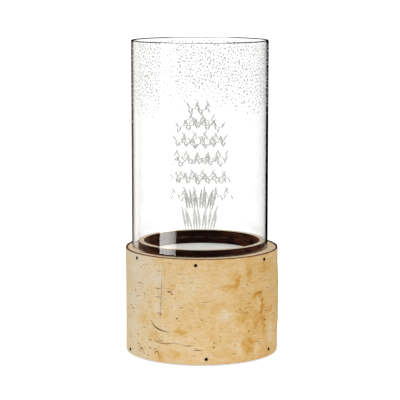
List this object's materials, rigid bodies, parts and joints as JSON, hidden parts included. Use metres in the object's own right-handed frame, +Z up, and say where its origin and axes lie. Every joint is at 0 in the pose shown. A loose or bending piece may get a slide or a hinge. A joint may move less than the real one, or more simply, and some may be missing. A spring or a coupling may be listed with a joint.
{
  "type": "hurricane candle holder",
  "caption": "Free-standing hurricane candle holder: an open etched glass cylinder standing around a locating ring on a drum wrapped in birch bark.",
  "frame": {"origin": "on the drum's axis, at the level of the surface that the felt pads stand on", "axes": "+Z up along the glass, -Y to the front, +X to the right seen from the front; the bark's overlapped seam is at the back, +Y"},
  "size_m": [0.141, 0.1445, 0.288],
  "materials": {
    "glass": "clear, smooth, with frosted etched marks",
    "fibreboard": "raw tan faces, laser-burnt dark brown edges",
    "plate_metal": "satin, pale grey",
    "bark": "matt birch bark with lenticels and small cracks",
    "pine": "planed, unfinished",
    "black_nail": "black, slightly worn",
    "zinc_screw": "bright zinc plate",
    "felt": "pressed brown felt"
  },
  "bodies": {
    "drum": {"locating_ring": "fibreboard", "deck_disc": "fibreboard", "well_floor_disc": "fibreboard", "base_disc": "fibreboard", "bark_wrap": "bark", "support_post_1": "pine", "support_post_2": "pine", "support_post_3": "pine", "support_post_4": "pine", "upper_post_screw_1": "zinc_screw", "upper_post_screw_2": "zinc_screw", "upper_post_screw_3": "zinc_screw", "upper_post_screw_4": "zinc_screw", "lower_post_screw_1": "zinc_screw", "lower_post_screw_2": "zinc_screw", "lower_post_screw_3": "zinc_screw", "lower_post_screw_4": "zinc_screw", "top_nail_1": "black_nail", "top_nail_2": "black_nail", "top_nail_3": "black_nail", "top_nail_4": "black_nail", "top_nail_5": "black_nail", "top_nail_6": "black_nail", "bottom_nail_1": "black_nail", "bottom_nail_2": "black_nail", "bottom_nail_3": "black_nail", "bottom_nail_4": "black_nail", "bottom_nail_5": "black_nail", "bottom_nail_6": "black_nail", "felt_pad_1": "felt", "felt_pad_2": "felt", "felt_pad_3": "felt", "felt_pad_4": "felt"},
    "glass": {"glass_cylinder": "glass"},
    "plate": {"candle_plate": "plate_metal"}
  },
  "joints": [
    {"name": "glass_lift", "type": "slide", "parent": "drum", "child": "glass", "axis": [0, 0, 1], "range_m": [0, 0.1]},
    {"name": "candle_plate_lift", "type": "slide", "parent": "drum", "child": "plate", "axis": [0, 0, 1], "range_m": [0, 0.21]}
  ]
}
